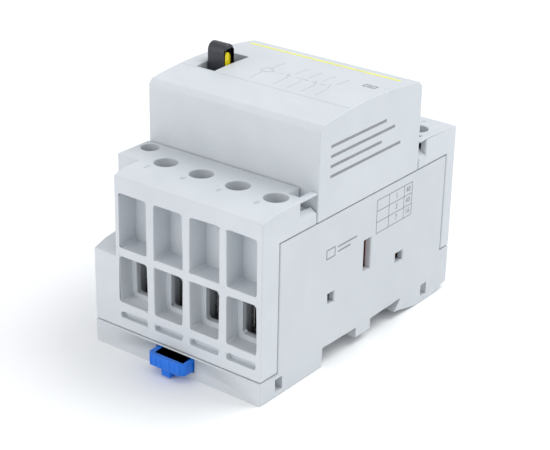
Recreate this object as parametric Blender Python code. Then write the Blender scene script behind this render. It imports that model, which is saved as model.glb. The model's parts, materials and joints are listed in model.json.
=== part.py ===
"""Modular DIN rail contactor, four poles, three modules wide, with a manual lever.

Lengths in this file are millimetres, and finish() turns each piece into metres.
X runs along the rail, Y from the front terminals to the rear ones, and +Z away from the rail.
Shapes are written in the housing's own frame, whose middle in Y lies on the centre of the housing.
"""

import math

import bmesh
import bpy
from mathutils import Matrix, Vector

# Driving dimensions.
MM = 0.001
GAP = 0.3
MODULE = 18.0
WIDTH = 3 * MODULE
LENGTH = 85.0
HALF_W = WIDTH / 2
HALF_L = LENGTH / 2
WALL = 2.0
SEAM_FRONT = 6.3
SEAM_REAR = 12.8
FLOOR_TOP = 8.0
RAISED_FRONT = -40.1
SHOULDER = 49.5
NOSE_FRONT = -20.9
NOSE_REAR = 23.8
NOSE_TOP = 67.65
NOSE_CREST_Y = 1.0
NOSE_CROWN_RADIUS = 140.0
NOSE_EDGE = 1.3
NOSE_EDGE_FRONT, NOSE_EDGE_REAR = 64.8, 64.6
HANDLE_REACH = 4.2

# The coil terminals stand in a narrower column on the left.
COLUMN_X = -19.6
COLUMN_FRONT = -33.0
COIL_SCREW_X = -23.2
COIL_ROW = 26.05

# Side walls of the base, which lie flush with the cover.
WALL_FRONT = -35.5
WALL_REAR = 38.0
WALL_TOP = {"right": 41.0, "left": 25.5}

# Poles and their rows of terminals, counted from the middle of the contact system.
CENTRE_Y = 1.15
POLE_PITCH = 11.5
FIRST_POLE_X = -13.6
POLES = [FIRST_POLE_X + POLE_PITCH * index for index in range(4)]
ROW = 30.85
ROWS = {"line": -1, "load": 1}
POCKET_HALF = 4.55
SHAFT_RADIUS = 3.1
SHAFT_SIDES = 20
COIL_SHAFT_RADIUS = 2.5

# Wire entries, blind pockets and slits of the two terminal faces.
ENTRY_LOW, ENTRY_HIGH = 13.9, 27.0
ENTRY_STEP = 4.5
NECK_HALF = 3.05
NECK_LOW, NECK_HIGH = 15.3, 26.7
POCKET_LOW, POCKET_HIGH = 29.3, 44.1
POCKET_DEPTH = 6.3
SLIT_LOW, SLIT_HIGH, SLIT_DEPTH = 9.6, 11.4, 1.5
FACE_WALL = 6.1

# Chambers inside the cover and the terminal blocks.
INNER_SIDE = HALF_W - WALL - 0.1
CHAMBER_TOP = 28.0
CLAMP_CHAMBER_TOP = 32.0
CONTACT_CHAMBER_HALF = 9.15
ARC_LEFT, ARC_RIGHT = -19.4, 25.2
MAGNET_HALF_Y = 20.0
MAGNET_TOP = 64.4
SPARE_LEFT, SPARE_RIGHT = -24.7, -20.3
SPARE_FRONT, SPARE_REAR, SPARE_TOP = -34.0, 36.0, 24.0
COIL_CHAMBER_LEFT, COIL_CHAMBER_RIGHT = -25.9, -20.6
COIL_CHAMBER_LOW, COIL_CHAMBER_TOP = 30.5, 42.5
COIL_CHAMBER_NEAR, COIL_CHAMBER_FAR = 18.0, 31.9
COIL_NECK_LEFT, COIL_NECK_RIGHT = -25.5, -21.0
COIL_NECK_LOW, COIL_NECK_HIGH = 31.4, 36.4

# Latch notches in the right side beside the nose: near y, far y of the ramp, far y of the hole,
# low z, top z.
LATCH_INNER, LATCH_RAMP_INNER = 21.6, 24.4
LATCH_RAMP_LOW, LATCH_RAMP_HIGH = 43.4, 46.0
LATCHES = {"line": (-21.1, -27.9, -25.9, 44.6, 48.8), "load": (24.1, 27.5, 28.0, 45.2, 48.6)}

# Windows in both side walls: low y, high y, low z, high z. The carrier shows through the first one.
CARRIER_WINDOW = (0.0, 3.2, 20.5)
CARRIER_WINDOW_TOP = {"right": 29.2, "left": 24.0}
SIDE_WINDOWS = [
    (-15.4, -12.6, 17.1, 20.0),
    (15.2, 18.8, 17.2, 20.0),
    (29.0, 31.8, 2.05, 5.5),
    (-36.6, -33.7, 1.5, 5.0),
]

# Terminal clamp, screw and strip.
CLAMP_HALF_X, CLAMP_HALF_Y = 3.8, 4.0
CLAMP_LOW, CLAMP_HIGH = 13.6, 27.2
CLAMP_WALL = 1.0
SCREW_HEAD_LOW, SCREW_HEAD_HIGH = 33.0, 36.5
SCREW_HEAD_RADIUS = 2.8
SCREW_SHANK_RADIUS = 2.2
STRIP_HALF_X = 2.4
STRIP_THICK = 1.2
STRIP_CLAMPED = 24.2
STRIP_CONTACT = 14.6
PAD = 1.0

# Coil terminal clamp and screw.
COIL_CLAMP_HALF_X, COIL_CLAMP_HALF_Y = 2.3, 3.2
COIL_CLAMP_LOW, COIL_CLAMP_HIGH = 31.0, 39.4
COIL_CLAMP_WALL = 0.7
COIL_HEAD_LOW, COIL_HEAD_HIGH = 44.0, 46.5
COIL_HEAD_RADIUS = 2.2
COIL_SHANK_RADIUS = 1.4
COIL_STRIP_Z = 36.9
COIL_STRIP_THICK = 0.8

# Moving system: travel is 3.2 downwards, and the open contacts stand TRAVEL + GAP apart.
TRAVEL = 3.2
BRIDGE_HALF = 13.65
BRIDGE_LOW = STRIP_CONTACT + STRIP_THICK + PAD + TRAVEL + GAP
BRIDGE_THICK = 1.4
CARRIER_LOW, CARRIER_HIGH = 18.0, 28.9
CARRIER_HALF_Y = 5.55
WINDOW_HALF = 3.0
WINDOW_LOW, WINDOW_HIGH = 20.8, 27.6
ARM_THICK = 1.5
ARM_TOP = 62.5

# Magnet: an E core below, an E core above, and the coil round their middle legs.
CORE_LEFT, CORE_RIGHT = -14.0, 22.0
CORE_HALF_Y = 7.0
OUTER_LEG = 6.0
CENTRE_LEG = 8.0
YOKE = 6.0
PLATE_LOW, PLATE_HIGH = 29.3, 31.0
FIXED_CORE_LOW = PLATE_HIGH + GAP
FIXED_CORE_TOP = 46.3
MOVING_LEG_LOW = FIXED_CORE_TOP + GAP + TRAVEL
MOVING_CORE_TOP = 63.2
LUG_LOW, LUG_HIGH = 59.2, 61.2
BOBBIN_LOW, BOBBIN_HIGH = 37.6, 53.6
FLANGE = 1.2
BOBBIN_REACH = 7.7

# Manual lever, which turns about a pin along X.
LEVER_LEFT, LEVER_RIGHT = -21.9, -16.3
LEVER_Y = -1.6
LEVER_PIVOT_Z = 58.0
LEVER_TOP = 72.8
LEVER_HALF = 2.15
DRUM_RADIUS = 5.0
PIN_RADIUS = 1.3
SLOT_LEFT, SLOT_RIGHT = -22.1, -16.0
SLOT_FRONT, SLOT_REAR = -8.2, 6.1
DRUM_TOP_SPACE = 60.0

# Rail recess and clip.
SEAT = 5.2
RELIEF = 5.6
RECESS_FRONT, RECESS_REAR = -17.0, 18.8
RIB_FRONT, RIB_REAR, RIB_LOW = -2.1, 4.5, 2.1
CLIP_HALF = 6.0
CLIP_LOW, CLIP_HIGH = 2.2, 5.6
TONGUE_END = -15.4

COLOURS = {
    "light_grey": ((0.69, 0.72, 0.74), 0.42, 0.0),
    "base_grey": ((0.66, 0.68, 0.70), 0.45, 0.0),
    "frame_black": ((0.03, 0.03, 0.035), 0.5, 0.0),
    "charcoal": ((0.045, 0.045, 0.055), 0.35, 0.0),
    "signal_yellow": ((0.95, 0.80, 0.01), 0.4, 0.0),
    "clip_blue": ((0.0, 0.12, 0.60), 0.35, 0.0),
    "carrier_brown": ((0.20, 0.09, 0.07), 0.5, 0.0),
    "bobbin_white": ((0.75, 0.73, 0.66), 0.5, 0.0),
    "magnet_steel": ((0.45, 0.45, 0.47), 0.4, 1.0),
    "plated_steel": ((0.62, 0.62, 0.60), 0.3, 1.0),
    "copper": ((0.80, 0.38, 0.20), 0.3, 1.0),
    "brass": ((0.80, 0.60, 0.28), 0.3, 1.0),
    "spring_steel": ((0.55, 0.55, 0.57), 0.3, 1.0),
    "enamel_copper": ((0.50, 0.17, 0.06), 0.35, 0.6),
    "lead_sleeve": ((0.35, 0.03, 0.03), 0.5, 0.0),
}


def clear_scene():
    for thing in list(bpy.data.objects):
        bpy.data.objects.remove(thing)


def make_frame():
    """The empty that every piece hangs on. It centres the housing and its clip handle on Y."""
    frame = bpy.data.objects.new("contactor_frame", None)
    frame.location.y = HANDLE_REACH / 2 * MM
    bpy.context.scene.collection.objects.link(frame)
    return frame


def material(name):
    found = bpy.data.materials.get(name)
    if found:
        return found
    colour, roughness, metallic = COLOURS[name]
    made = bpy.data.materials.new(name)
    made.use_nodes = True
    made.diffuse_color = (*colour, 1.0)
    shader = made.node_tree.nodes["Principled BSDF"]
    shader.inputs["Base Color"].default_value = (*colour, 1.0)
    shader.inputs["Roughness"].default_value = roughness
    shader.inputs["Metallic"].default_value = metallic
    return made


def add_block(bm, low, high):
    """A box between two opposite corners."""
    low, high = Vector(low), Vector(high)
    size = high - low
    place = Matrix.Translation((low + high) / 2) @ Matrix.Diagonal((*size, 1.0))
    bmesh.ops.create_cube(bm, size=1.0, matrix=place)


def add_rod(bm, start, end, radius, sides=16):
    """A round bar between two points."""
    start, end = Vector(start), Vector(end)
    along = end - start
    turn = along.to_track_quat("Z", "Y").to_matrix().to_4x4()
    bmesh.ops.create_cone(
        bm,
        cap_ends=True,
        segments=sides,
        radius1=radius,
        radius2=radius,
        depth=along.length,
        matrix=Matrix.Translation((start + end) / 2) @ turn,
    )


def add_prism(bm, outline, axis, start, end):
    """An outline in the plane across the axis, extruded along it."""
    spots = {
        "X": lambda a, b: (start, a, b),
        "Y": lambda a, b: (a, start, b),
        "Z": lambda a, b: (a, b, start),
    }[axis]
    step = {"X": (1, 0, 0), "Y": (0, 1, 0), "Z": (0, 0, 1)}[axis]
    face = bm.faces.new([bm.verts.new(spots(a, b)) for a, b in outline])
    grown = bmesh.ops.extrude_face_region(bm, geom=[face])["geom"]
    corners = [item for item in grown if isinstance(item, bmesh.types.BMVert)]
    bmesh.ops.translate(bm, verts=corners, vec=Vector(step) * (end - start))


def add_ring(bm, outer, inner, axis, start, end):
    """A rectangular ring: outer and inner are (low a, low b, high a, high b) across the axis."""

    def corners(box, level):
        low_a, low_b, high_a, high_b = box
        flat = [(low_a, low_b), (high_a, low_b), (high_a, high_b), (low_a, high_b)]
        if axis == "Y":
            return [bm.verts.new((a, level, b)) for a, b in flat]
        return [bm.verts.new((a, b, level)) for a, b in flat]

    loops = [corners(box, level) for level in (start, end) for box in (outer, inner)]
    outer_low, inner_low, outer_high, inner_high = loops
    for near, far in (
        (outer_low, outer_high),
        (outer_high, inner_high),
        (inner_high, inner_low),
        (inner_low, outer_low),
    ):
        for side in range(4):
            after = (side + 1) % 4
            bm.faces.new((near[side], near[after], far[after], far[side]))


def add_turned(bm, centre, profile, sides):
    """A solid of revolution about a vertical axis; the profile is (radius, z) from axis to axis."""
    x, y = centre
    points = [bm.verts.new((x + radius, y, z)) for radius, z in profile]
    edges = [bm.edges.new(pair) for pair in zip(points, points[1:])]
    bmesh.ops.spin(
        bm,
        geom=points + edges,
        cent=(x, y, 0),
        axis=(0, 0, 1),
        angle=math.tau,
        steps=sides,
        use_merge=True,
    )
    bmesh.ops.remove_doubles(bm, verts=bm.verts, dist=0.001)


def finish(name, bm, surface, origin=(0.0, 0.0, 0.0), smooth=False):
    """Makes the object. Its origin is the given point, and its mesh is turned into metres."""
    bmesh.ops.recalc_face_normals(bm, faces=bm.faces)
    bmesh.ops.translate(bm, verts=bm.verts, vec=-Vector(origin))
    bmesh.ops.scale(bm, verts=bm.verts, vec=(MM, MM, MM))
    mesh = bpy.data.meshes.new(name)
    bm.to_mesh(mesh)
    bm.free()
    if smooth:
        mesh.shade_smooth()
        mesh.set_sharp_from_angle(angle=math.radians(35))
    piece = bpy.data.objects.new(name, mesh)
    piece.location = Vector(origin) * MM
    bpy.context.scene.collection.objects.link(piece)
    piece.parent = FRAME
    if surface:
        mesh.materials.append(material(surface))
    return piece


def cut(piece, label, bm, operation="DIFFERENCE"):
    """Cuts the bmesh from the piece, or joins it to the piece, with a Boolean modifier."""
    tool = finish(f"{piece.name}_{label}", bm, None)
    tool.hide_render = True
    tool.display_type = "WIRE"
    change = piece.modifiers.new(label, "BOOLEAN")
    change.operation = operation
    change.use_self = True
    change.object = tool
    return tool


def block_tool(*boxes):
    bm = bmesh.new()
    for low, high in boxes:
        add_block(bm, low, high)
    return bm


def span(y_one, y_two):
    return (min(y_one, y_two), max(y_one, y_two))


def face_y(row):
    """The terminal face of a row of poles."""
    return ROWS[row] * HALF_L


def screw_y(row):
    return CENTRE_Y + ROWS[row] * ROW


def inwards(row, y, distance):
    """A place this far from y, measured towards the middle of the housing."""
    return y - ROWS[row] * distance


def nose_top_outline():
    """The crowned top of the nose, with its two rounded edges, from front to rear."""
    steps = 10
    front, rear = NOSE_FRONT + NOSE_EDGE, NOSE_REAR - NOSE_EDGE
    points = [(NOSE_FRONT, NOSE_EDGE_FRONT)]
    for index in range(steps + 1):
        y = front + (rear - front) * index / steps
        points.append((y, NOSE_TOP - (y - NOSE_CREST_Y) ** 2 / (2 * NOSE_CROWN_RADIUS)))
    points.append((NOSE_REAR, NOSE_EDGE_REAR))
    return points


def shell_outline(name):
    """A shell of the upper housing seen from its side: the crowned nose, or the shoulder at one end."""
    bottom = SEAM_FRONT + GAP
    if name == "housing_cover":
        return [(NOSE_FRONT, bottom)] + nose_top_outline() + [(NOSE_REAR, bottom)]
    if name == "line_terminal_block":
        outline = [(-HALF_L, bottom), (-HALF_L, 48.5), (-40.4, 49.1), (-37.5, SHOULDER)]
        return outline + [(NOSE_FRONT - GAP, SHOULDER), (NOSE_FRONT - GAP, bottom)]
    heel = WALL_REAR - GAP
    outline = [(NOSE_REAR + GAP, bottom), (NOSE_REAR + GAP, 49.3), (40.6, 48.9), (HALF_L, 48.3)]
    return outline + [(HALF_L, SEAM_REAR + GAP), (heel, SEAM_REAR + GAP), (heel, bottom)]


def make_shell(name):
    """One shell of the upper housing, with the hollows that every shell shares."""
    bm = bmesh.new()
    add_prism(bm, shell_outline(name), "X", -HALF_W, HALF_W)
    shell = finish(name, bm, "light_grey")
    cut(shell, "wall_rebates", wall_rebates())
    cut(shell, "floor_recess", floor_recess())
    cut(shell, "arc_chambers", arc_chambers())
    cut(shell, "coil_chambers", coil_chambers())
    return shell


def make_cover():
    """The middle shell: the nose, the magnet's chamber in it, and the slot and bore for the lever."""
    cover = make_shell("housing_cover")
    cut(cover, "magnet_chamber", magnet_chamber())
    slot = ((SLOT_LEFT, SLOT_FRONT, DRUM_TOP_SPACE), (SLOT_RIGHT, SLOT_REAR, LEVER_TOP))
    cut(cover, "lever_slot", block_tool(slot))
    bore = bmesh.new()
    start = (-26.3, LEVER_Y, LEVER_PIVOT_Z)
    add_rod(bore, start, (-24.0, LEVER_Y, LEVER_PIVOT_Z), PIN_RADIUS + GAP)
    cut(cover, "pin_bore", bore)
    return cover


def make_terminal_block(row):
    """The shell at one end, which holds a row of four power terminals and one coil terminal."""
    block = make_shell(f"{row}_terminal_block")
    cut(block, "column_step", column_step(row))
    cut(block, "terminal_mouths", terminal_mouths(row))
    cut(block, "terminal_necks", terminal_necks(row))
    cut(block, "screw_shafts", screw_shafts(row))
    cut(block, "clamp_chambers", clamp_chambers(row))
    cut(block, "coil_neck", coil_neck(row))
    cut(block, "latch_notch", latch_notch(row))
    return block


def column_step(row):
    """The space in front of the coil terminal, over a ledge that rises gently towards the middle."""
    out, top = HALF_L + 1, SHOULDER + 3
    front = -COLUMN_FRONT
    outline = [(out, 26.4), (HALF_L, 26.6), (38.4, 28.0), (front, 28.8), (front, top), (out, top)]
    bm = bmesh.new()
    add_prism(bm, [(ROWS[row] * y, z) for y, z in outline], "X", -HALF_W - 1, COLUMN_X)
    return bm


def wall_rebates():
    """Room for the base's side walls."""
    front, rear = WALL_FRONT - GAP, WALL_REAR + GAP + 0.1
    inner = HALF_W - WALL - GAP
    return block_tool(
        ((inner, front, 0), (HALF_W + 1, rear, WALL_TOP["right"] + GAP)),
        ((-HALF_W - 1, front, 0), (-inner, rear, WALL_TOP["left"] + GAP)),
    )


def floor_recess():
    """Room for the base's raised floor, and the spare chamber beside the poles on the left."""
    rear = WALL_REAR + GAP + 0.1
    return block_tool(
        ((-INNER_SIDE, RAISED_FRONT - GAP, 0), (INNER_SIDE, rear, FLOOR_TOP + GAP)),
        ((SPARE_LEFT, SPARE_FRONT, FLOOR_TOP - 1), (SPARE_RIGHT, SPARE_REAR, SPARE_TOP)),
    )


def magnet_chamber():
    """The chamber that rises into the nose."""
    low = (-INNER_SIDE, CENTRE_Y - MAGNET_HALF_Y, CHAMBER_TOP)
    return block_tool((low, (INNER_SIDE, CENTRE_Y + MAGNET_HALF_Y, MAGNET_TOP)))


def arc_chambers():
    """The arc chamber of each pole, open below, and the space between them where the carrier moves."""
    low, high = CENTRE_Y - CONTACT_CHAMBER_HALF, CENTRE_Y + CONTACT_CHAMBER_HALF
    bm = block_tool(((ARC_LEFT, low, FLOOR_TOP - 1), (ARC_RIGHT, high, CHAMBER_TOP + 1)))
    for row in ROWS:
        near = CENTRE_Y + ROWS[row] * (CONTACT_CHAMBER_HALF - 0.5)
        low, high = span(near, inwards(row, face_y(row), FACE_WALL))
        for x in POLES:
            corner = (x + POCKET_HALF, high, CHAMBER_TOP)
            add_block(bm, (x - POCKET_HALF, low, FLOOR_TOP - 0.8), corner)
    return bm


def terminal_mouths(row):
    """A wire mouth, a blind pocket above it and, on the line side, a slit below it for each pole."""
    hollows = [(ENTRY_LOW, ENTRY_HIGH, ENTRY_STEP), (POCKET_LOW, POCKET_HIGH, POCKET_DEPTH)]
    if row == "line":
        hollows.append((SLIT_LOW, SLIT_HIGH, SLIT_DEPTH))
    bm = bmesh.new()
    for low_z, high_z, depth in hollows:
        low, high = span(inwards(row, face_y(row), -1), inwards(row, face_y(row), depth))
        for x in POLES:
            add_block(bm, (x - POCKET_HALF, low, low_z), (x + POCKET_HALF, high, high_z))
    return bm


def terminal_necks(row):
    """The narrower neck at the bottom of each wire mouth, through to the clamp."""
    face = face_y(row)
    low, high = span(inwards(row, face, ENTRY_STEP - 0.5), inwards(row, face, FACE_WALL + 0.9))
    bm = bmesh.new()
    for x in POLES:
        add_block(bm, (x - NECK_HALF, low, NECK_LOW), (x + NECK_HALF, high, NECK_HIGH))
    return bm


def screw_shafts(row):
    """Screwdriver shafts down from the shoulder: one for each pole and one for the coil terminal."""
    top = SHOULDER + 2.5
    bm = bmesh.new()
    for x in POLES:
        start = (x, screw_y(row), CLAMP_CHAMBER_TOP - 1)
        add_rod(bm, start, (x, screw_y(row), top), SHAFT_RADIUS, SHAFT_SIDES)
    y = CENTRE_Y + ROWS[row] * COIL_ROW
    start = (COIL_SCREW_X, y, COIL_CHAMBER_TOP - 0.5)
    add_rod(bm, start, (COIL_SCREW_X, y, top), COIL_SHAFT_RADIUS, SHAFT_SIDES)
    return bm


def clamp_chambers(row):
    """The raised end of each pole's chamber, where the clamp rises as its screw is tightened."""
    reach_x, reach_y = CLAMP_HALF_X + 0.5, CLAMP_HALF_Y + 0.4
    y = screw_y(row)
    bm = bmesh.new()
    for x in POLES:
        low = (x - reach_x, y - reach_y, CHAMBER_TOP - 1)
        add_block(bm, low, (min(x + reach_x, ARC_RIGHT - 0.1), y + reach_y, CLAMP_CHAMBER_TOP))
    return bm


def coil_chambers():
    """The clamp chamber of each coil terminal, joined to the magnet chamber."""
    bm = bmesh.new()
    for row in ROWS:
        near = CENTRE_Y + ROWS[row] * COIL_CHAMBER_NEAR
        low, high = span(near, CENTRE_Y + ROWS[row] * COIL_CHAMBER_FAR)
        corner = (COIL_CHAMBER_RIGHT, high, COIL_CHAMBER_TOP)
        add_block(bm, (COIL_CHAMBER_LEFT, low, COIL_CHAMBER_LOW), corner)
    return bm


def coil_neck(row):
    """The wire entry of the coil terminal, in the wall that faces its ledge."""
    low, high = span(CENTRE_Y + ROWS[row] * (COIL_CHAMBER_FAR - 0.9), -ROWS[row] * (COLUMN_FRONT - 2))
    corner = (COIL_NECK_RIGHT, high, COIL_NECK_HIGH)
    return block_tool(((COIL_NECK_LEFT, low, COIL_NECK_LOW), corner))


def latch_notch(row):
    """The undercut notch in the right side beside the nose, with a ramp below and a square hole above."""
    near, far, hole_far, low, top = LATCHES[row]
    outer = HALF_W + 1
    hole_low, hole_high = span(near, hole_far)
    bm = block_tool(((LATCH_INNER, hole_low, low), (HALF_W - WALL, hole_high, SHOULDER + 1.5)))
    ramp = [(outer, LATCH_RAMP_LOW), (LATCH_RAMP_INNER, LATCH_RAMP_HIGH)]
    ramp += [(LATCH_RAMP_INNER, top), (outer, top)]
    add_prism(bm, ramp, "Y", *span(near, far))
    return bm


def base_outline():
    """The base from its side: front foot, rail recess with rib, fixed hook, rear foot."""
    outline = [(-HALF_L, 0), (-HALF_L, SEAM_FRONT), (WALL_REAR, SEAM_FRONT)]
    outline += [(WALL_REAR, SEAM_REAR), (HALF_L, SEAM_REAR), (HALF_L, 1.8), (34.5, 0), (26.8, 0)]
    outline += [(19.1, 1.65), (16.1, 2.4), (RECESS_REAR, 5.3), (RECESS_REAR, RELIEF), (15.8, RELIEF)]
    outline += [(15.8, SEAT), (RIB_REAR, SEAT), (RIB_REAR, RIB_LOW), (RIB_FRONT, RIB_LOW), (RIB_FRONT, SEAT)]
    outline += [(-14.9, SEAT), (-14.9, RELIEF), (RECESS_FRONT, RELIEF), (RECESS_FRONT, 0)]
    return outline


def make_base():
    """The lower shell: feet and rail recess below, a raised floor, and a wall up each side."""
    bm = bmesh.new()
    add_prism(bm, base_outline(), "X", -HALF_W, HALF_W)
    base = finish("housing_base", bm, "base_grey")
    inner = HALF_W - WALL
    side = inner - 0.4
    raised = ((-side, RAISED_FRONT, SEAM_FRONT - 1), (side, WALL_REAR - 0.5, FLOOR_TOP))
    cut(base, "raised_floor", block_tool(raised), "UNION")
    walls = block_tool(
        ((inner, WALL_FRONT, SEAM_FRONT - 0.8), (HALF_W, WALL_REAR, WALL_TOP["right"])),
        ((-HALF_W, WALL_FRONT, SEAM_FRONT - 0.8), (-inner, WALL_REAR, WALL_TOP["left"])),
    )
    cut(base, "side_walls", walls, "UNION")
    cut(base, "side_windows", side_windows())
    channel = ((-CLIP_HALF - GAP, -44, CLIP_LOW - GAP), (CLIP_HALF + GAP, -16, CLIP_HIGH + GAP))
    cut(base, "clip_channel", block_tool(channel))
    cut(base, "clip_window", block_tool(((-3.4, -36, -1), (3.4, -23, 3.0))))
    return base


def side_windows():
    """On each side: a slot that shows the carrier, two latch windows and two blind latch pockets."""
    inner, outer = HALF_W - WALL - 0.5, HALF_W + 1
    bm = bmesh.new()
    for side, low_x, high_x in (("right", inner, outer), ("left", -outer, -inner)):
        windows = [(*CARRIER_WINDOW, CARRIER_WINDOW_TOP[side])] + SIDE_WINDOWS
        for low_y, high_y, low_z, high_z in windows:
            add_block(bm, (low_x, low_y, low_z), (high_x, high_y, high_z))
    return bm


def make_rail_clip():
    """The sliding rail clip: a handle in front, two side rails, and a bevelled tongue at the rail's edge."""
    front = -HALF_L - HANDLE_REACH
    outline = [(front, CLIP_LOW), (front, CLIP_HIGH), (-17.3, CLIP_HIGH)]
    outline += [(TONGUE_END, 3.7), (TONGUE_END, CLIP_LOW)]
    bm = bmesh.new()
    add_prism(bm, outline, "X", -CLIP_HALF, CLIP_HALF)
    clip = finish("rail_clip", bm, "clip_blue")
    cut(clip, "tab", block_tool(((-1.5, front + 0.4, 0.3), (1.5, -43.1, CLIP_LOW + 0.5))), "UNION")
    cut(clip, "thumb_hollow", block_tool(((-3.8, front + 1.6, 3.4), (4.8, -41.5, 7))))
    cut(clip, "spring_window", block_tool(((-3.8, -38, 0), (3.8, -21, 7))))
    corners = bmesh.new()
    for side in (-1, 1):
        triangle = [(side * 7, front - 1), (side * 4.6, front - 0.2), (side * 6.4, front + 1.6)]
        add_prism(corners, triangle, "Z", 1, 7)
    cut(clip, "handle_corners", corners)
    return clip


def e_core_outline(base, tip, yoke_side, notch):
    """An E seen from the front. base is the yoke's outer edge, tip the end of its legs."""
    middle = (CORE_LEFT + CORE_RIGHT) / 2
    inner = base + yoke_side * YOKE
    outline = [(CORE_LEFT, base)]
    if notch:
        outline += [(CORE_LEFT, notch[1]), (CORE_LEFT + 1.8, notch[1]), (CORE_LEFT + 1.8, notch[0])]
        outline += [(CORE_LEFT, notch[0])]
    outline += leg_tip(CORE_LEFT, tip, bool(notch))
    outline += [(CORE_LEFT + OUTER_LEG, inner), (middle - CENTRE_LEG / 2, inner)]
    outline += [(middle - CENTRE_LEG / 2, tip), (middle + CENTRE_LEG / 2, tip)]
    outline += [(middle + CENTRE_LEG / 2, inner), (CORE_RIGHT - OUTER_LEG, inner)]
    outline += leg_tip(CORE_RIGHT - OUTER_LEG, tip, bool(notch))
    if notch:
        outline += [(CORE_RIGHT, notch[0]), (CORE_RIGHT - 1.8, notch[0]), (CORE_RIGHT - 1.8, notch[1])]
        outline += [(CORE_RIGHT, notch[1])]
    outline += [(CORE_RIGHT, base)]
    return outline


def leg_tip(left, tip, plain):
    """The end of an outer leg, plain or with the two grooves that hold a shading ring."""
    if plain:
        return [(left, tip), (left + OUTER_LEG, tip)]
    points = [(left, tip)]
    for groove in (1.2, 3.4):
        points += [(left + groove, tip), (left + groove, tip - 1.8)]
        points += [(left + groove + 1.4, tip - 1.8), (left + groove + 1.4, tip)]
    return points + [(left + OUTER_LEG, tip)]


def make_cores():
    """The two laminated halves of the magnet."""
    lugs = (LUG_LOW - GAP, LUG_HIGH + GAP)
    for name, outline in (
        ("fixed_core", e_core_outline(FIXED_CORE_LOW, FIXED_CORE_TOP, 1, None)),
        ("moving_core", e_core_outline(MOVING_CORE_TOP, MOVING_LEG_LOW, -1, lugs)),
    ):
        bm = bmesh.new()
        add_prism(bm, outline, "Y", CENTRE_Y - CORE_HALF_Y, CENTRE_Y + CORE_HALF_Y)
        finish(name, bm, "magnet_steel")


def make_shading_rings():
    """A copper ring in the tip of each outer leg of the fixed core."""
    for name, left in (("left", CORE_LEFT), ("right", CORE_RIGHT - OUTER_LEG)):
        near, far = left + 1.5, left + 4.5
        outer = (near, CENTRE_Y - 8.1, far, CENTRE_Y + 8.1)
        inner = (near + 0.8, CENTRE_Y - 7.4, far - 0.8, CENTRE_Y + 7.4)
        bm = bmesh.new()
        add_ring(bm, outer, inner, "Z", FIXED_CORE_TOP - 1.4, FIXED_CORE_TOP - 0.3)
        finish(f"shading_ring_{name}", bm, "copper")


def coil_box(reach):
    """A rectangle round the middle leg, this far outside it: (low x, low y, high x, high y)."""
    middle = (CORE_LEFT + CORE_RIGHT) / 2
    half_x, half_y = CENTRE_LEG / 2 + reach, CORE_HALF_Y + reach
    return (middle - half_x, CENTRE_Y - half_y, middle + half_x, CENTRE_Y + half_y)


def make_coil():
    """The bobbin, a square tube with two flanges, and the winding between them."""
    bm = bmesh.new()
    add_ring(bm, coil_box(BOBBIN_REACH), coil_box(0.4), "Z", BOBBIN_LOW, BOBBIN_HIGH)
    bobbin = finish("coil_bobbin", bm, "bobbin_white")
    low, high = BOBBIN_LOW + FLANGE, BOBBIN_HIGH - FLANGE
    groove = bmesh.new()
    add_ring(groove, coil_box(BOBBIN_REACH + 1), coil_box(1.4), "Z", low, high)
    cut(bobbin, "winding_groove", groove)
    wound = bmesh.new()
    add_ring(wound, coil_box(BOBBIN_REACH - 0.4), coil_box(1.4 + GAP), "Z", low + GAP, high - GAP)
    finish("coil_winding", wound, "enamel_copper")


def make_magnet_frame():
    """The plate between contacts and magnet, with guide holes for the carrier's arms and two cheeks."""
    bm = block_tool(((-24.4, CENTRE_Y - 19.6, PLATE_LOW), (24.4, CENTRE_Y + 19.6, PLATE_HIGH)))
    frame = finish("magnet_frame", bm, "frame_black")
    cheeks = bmesh.new()
    for side in (-1, 1):
        low, high = span(CENTRE_Y + side * (CORE_HALF_Y + GAP), CENTRE_Y + side * (CORE_HALF_Y + 2.4))
        add_block(cheeks, (-4, low, PLATE_HIGH - 0.5), (12, high, 36.5))
    cut(frame, "core_cheeks", cheeks, "UNION")
    holes = bmesh.new()
    reach = CARRIER_HALF_Y + 0.5
    for low, high in ((CORE_LEFT - 2.3, CORE_LEFT + 0.2), (CORE_RIGHT - 0.2, CORE_RIGHT + 2.3)):
        add_block(holes, (low, CENTRE_Y - reach, PLATE_LOW - 1), (high, CENTRE_Y + reach, PLATE_HIGH + 1))
    cut(frame, "arm_holes", holes)
    return frame


def carrier_outline():
    """The carrier from the front: a bar across the poles and two arms up to the moving core."""
    left, right = CORE_LEFT - GAP, CORE_RIGHT + GAP
    outline = [(-18.8, CARRIER_LOW), (-18.8, CARRIER_HIGH), (left - ARM_THICK, CARRIER_HIGH)]
    outline += [(left - ARM_THICK, 50.0), (-20.6, 50.0), (-20.6, 52.0), (left - ARM_THICK, 52.0)]
    outline += [(left - ARM_THICK, ARM_TOP), (left, ARM_TOP), (left, LUG_HIGH)]
    outline += [(left + 1.6, LUG_HIGH), (left + 1.6, LUG_LOW), (left, LUG_LOW), (left, CARRIER_HIGH)]
    outline += [(right, CARRIER_HIGH), (right, LUG_LOW), (right - 1.6, LUG_LOW), (right - 1.6, LUG_HIGH)]
    outline += [(right, LUG_HIGH), (right, ARM_TOP), (right + ARM_THICK, ARM_TOP)]
    outline += [(right + ARM_THICK, CARRIER_HIGH), (24.4, CARRIER_HIGH), (24.4, CARRIER_LOW)]
    return outline


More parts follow.
